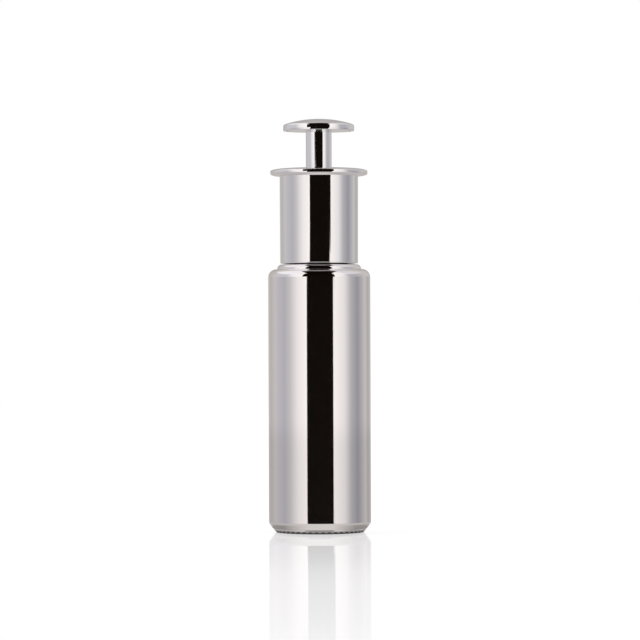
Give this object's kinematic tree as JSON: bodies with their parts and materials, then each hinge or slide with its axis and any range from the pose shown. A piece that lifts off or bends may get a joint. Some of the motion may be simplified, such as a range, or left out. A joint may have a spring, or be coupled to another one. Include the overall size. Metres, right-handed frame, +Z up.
{
  "type": "serum bottle with plunger dropper head",
  "caption": "Round silvered glass serum bottle whose screw-on head draws and doses serum with a sprung thumb button, held by a finger flange.",
  "frame": {"origin": "centre of the base ring, on the surface that the bottle stands on", "axes": "+Z up along the bottle's axis, towards the thumb button; the pieces are round, so X and Y are free"},
  "size_m": [0.03, 0.03, 0.1215],
  "materials": {
    "bottle": "glass with an opaque mirror-silver coating outside",
    "neck_gasket": "white polyethylene foam",
    "pump_barrel": "natural white polypropylene, moulded",
    "rod_guide": "white acetal, moulded",
    "return_spring": "drawn stainless spring wire",
    "pipette": "clear drawn glass tube",
    "pipette_seal": "translucent silicone",
    "screw_cap": "natural white polypropylene, moulded",
    "collar_shell": "mirror-silver plating on ABS",
    "stem_bush": "white acetal, moulded",
    "plunger_rod": "white acetal, moulded",
    "piston_seal": "translucent silicone",
    "stem_sleeve": "bright drawn tube",
    "button_insert": "mirror-silver plating on ABS",
    "thumb_button": "mirror-silver plating on ABS"
  },
  "bodies": {
    "bottle": {"bottle": "bottle"},
    "pump_unit": {"neck_gasket": "neck_gasket", "pump_barrel": "pump_barrel", "rod_guide": "rod_guide", "return_spring": "return_spring", "pipette": "pipette", "pipette_seal": "pipette_seal"},
    "collar": {"screw_cap": "screw_cap", "collar_shell": "collar_shell", "stem_bush": "stem_bush"},
    "plunger": {"plunger_rod": "plunger_rod", "piston_seal": "piston_seal", "stem_sleeve": "stem_sleeve", "button_insert": "button_insert", "thumb_button": "thumb_button"}
  },
  "joints": [
    {"name": "head_lift", "type": "slide", "parent": "bottle", "child": "pump_unit", "axis": [0, 0, 1], "range_m": [0, 0.00476]},
    {"name": "collar_turn", "type": "hinge", "parent": "pump_unit", "child": "collar", "pos_m": [0, 0, 0.09], "axis": [0, 0, 1], "range_deg": [0, 540]},
    {"name": "plunger_press", "type": "slide", "parent": "pump_unit", "child": "plunger", "axis": [0, 0, -1], "range_m": [0, 0.01], "stiffness_N_per_m": 200, "springref_m": -0.012, "deforming": ["return_spring"]}
  ],
  "couplings": [
    {"joint": "head_lift", "follows": "collar_turn", "m_per_rad": 0.00050532}
  ]
}
